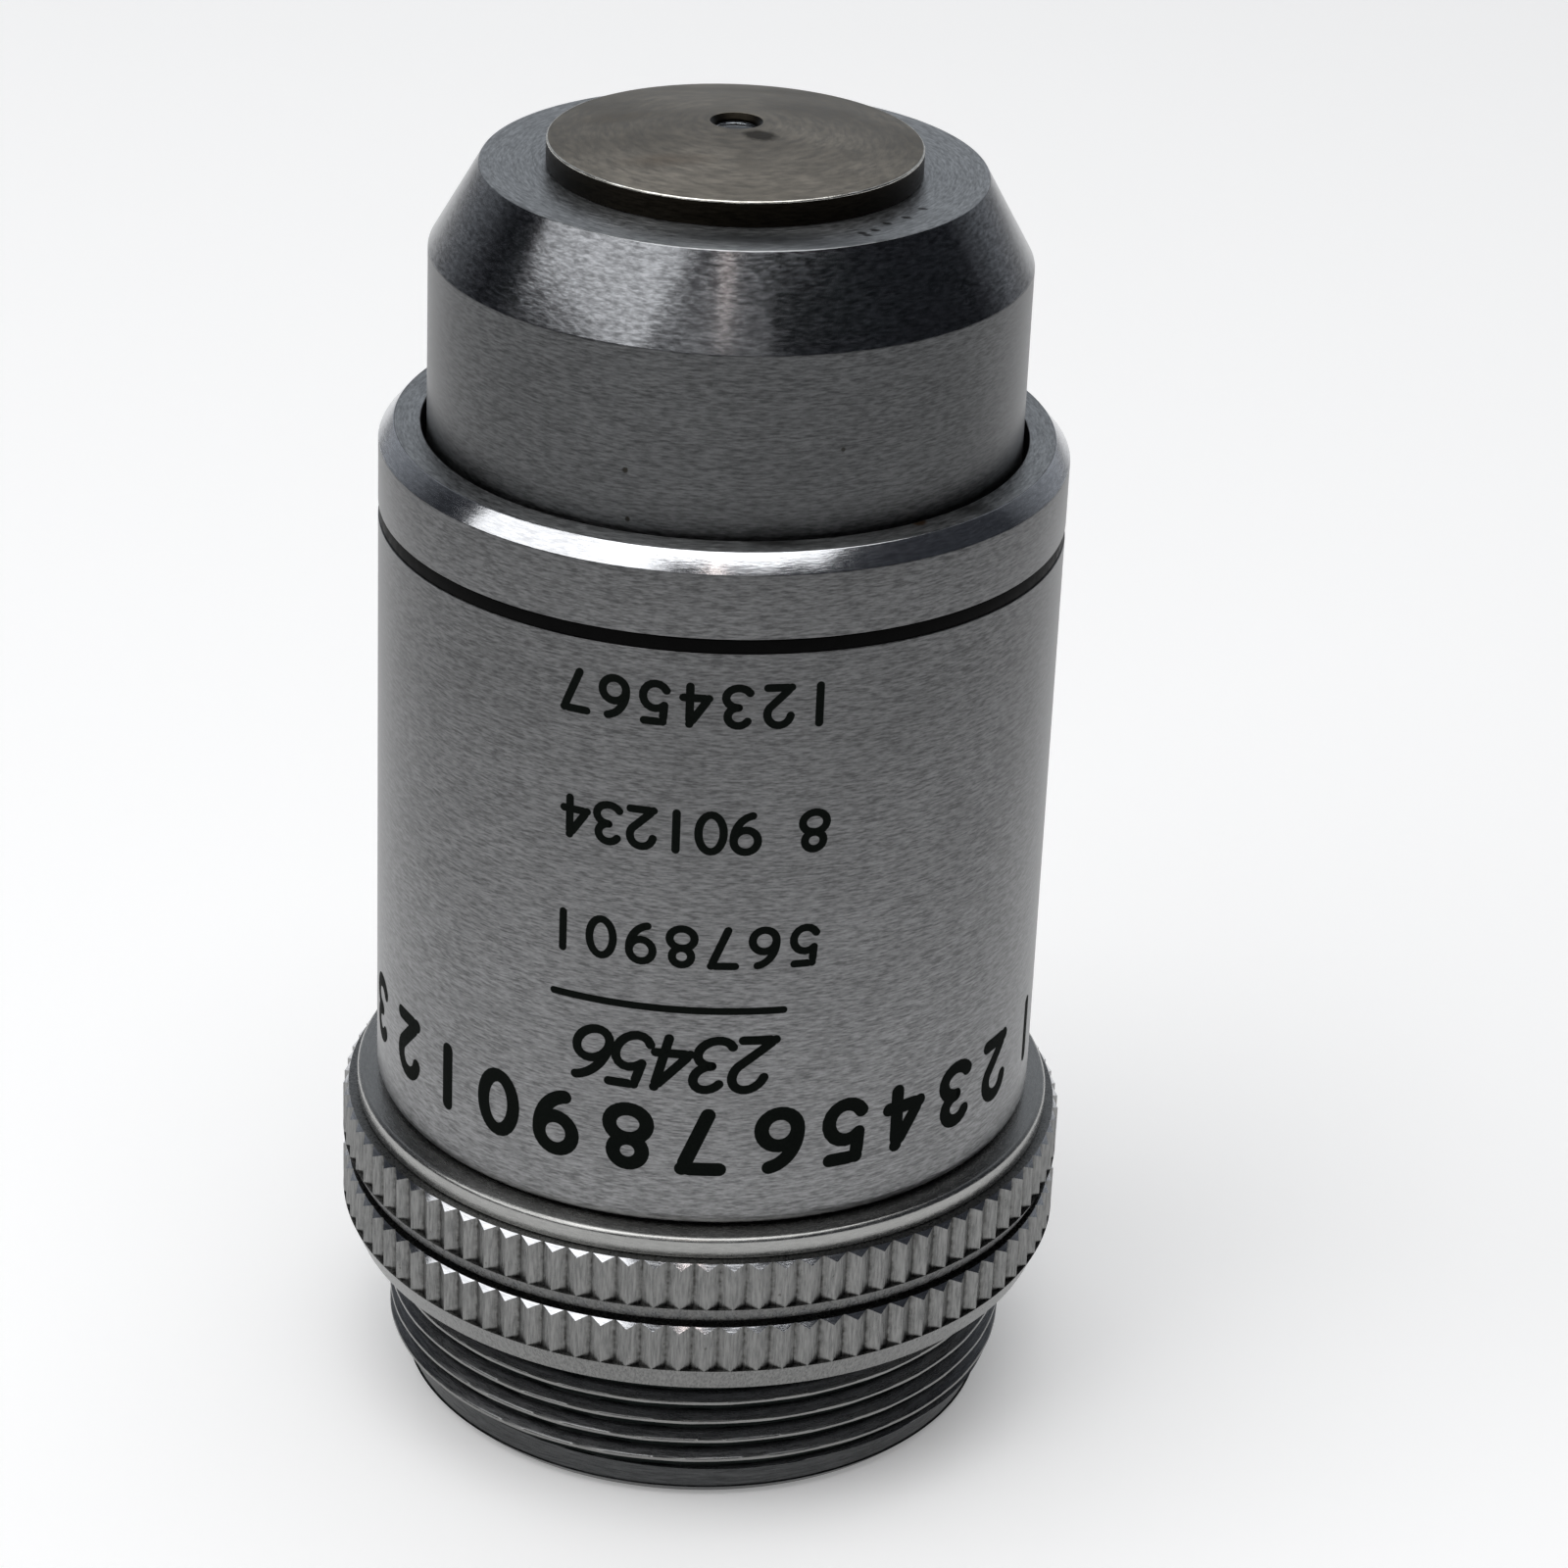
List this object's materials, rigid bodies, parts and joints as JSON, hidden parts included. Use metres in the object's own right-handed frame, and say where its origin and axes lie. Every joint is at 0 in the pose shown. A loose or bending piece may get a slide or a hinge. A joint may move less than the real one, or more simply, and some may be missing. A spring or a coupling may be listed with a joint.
{
  "type": "microscope objective",
  "caption": "Screw-in microscope objective with a knurled thread mount, a satin barrel with a dark band near its front, and a stepped nose that slides back on a spring and holds the lenses.",
  "frame": {"origin": "centre of the thread end, the lowest face of the objective as it stands", "axes": "+Z along the optical axis, towards the nose and the specimen; +Y to the side of the hidden keyway"},
  "size_m": [0.0234, 0.0234, 0.0424],
  "materials": {
    "satin_chrome": "satin chrome plate with a fine turned grain, polished on the chamfers",
    "mount_metal": "satin chrome on the knurled flange, dark gunmetal on the thread",
    "front_nickel": "matte nickel with a brownish tarnish",
    "black_enamel": "black enamel",
    "tube_metal": "chemically blackened brass",
    "bare_brass": "turned brass, lightly greased",
    "blackened_brass": "matte blackened brass",
    "spring_steel": "bright drawn steel",
    "optical_glass": "polished and coated"
  },
  "bodies": {
    "barrel": {"thread_mount": "mount_metal", "knurled_ring": "satin_chrome", "seat_collar": "satin_chrome", "outer_barrel": "satin_chrome", "immersion_ring": "black_enamel", "spring_seat": "spring_steel", "compression_spring": "spring_steel"},
    "nose": {"nose_sleeve": "satin_chrome", "lens_tube": "tube_metal", "guide_ring": "bare_brass", "guide_pin": "spring_steel", "front_cell": "front_nickel", "front_lens": "optical_glass", "meniscus_cell": "blackened_brass", "meniscus_lens": "optical_glass", "spacer_a": "blackened_brass", "doublet_a_cell": "blackened_brass", "doublet_a_crown": "optical_glass", "doublet_a_flint": "optical_glass", "spacer_b": "blackened_brass", "doublet_b_cell": "blackened_brass", "doublet_b_crown": "optical_glass", "doublet_b_flint": "optical_glass", "spacer_c": "blackened_brass", "rear_cell": "blackened_brass", "rear_crown": "optical_glass", "rear_flint": "optical_glass", "aperture_stop": "blackened_brass", "retaining_ring": "blackened_brass"}
  },
  "joints": [
    {"name": "nose_slide", "type": "slide", "parent": "barrel", "child": "nose", "axis": [0, 0, -1], "range_m": [0, 0.0025], "stiffness_N_per_m": 315, "springref_m": -0.0064, "deforming": ["compression_spring"]}
  ]
}
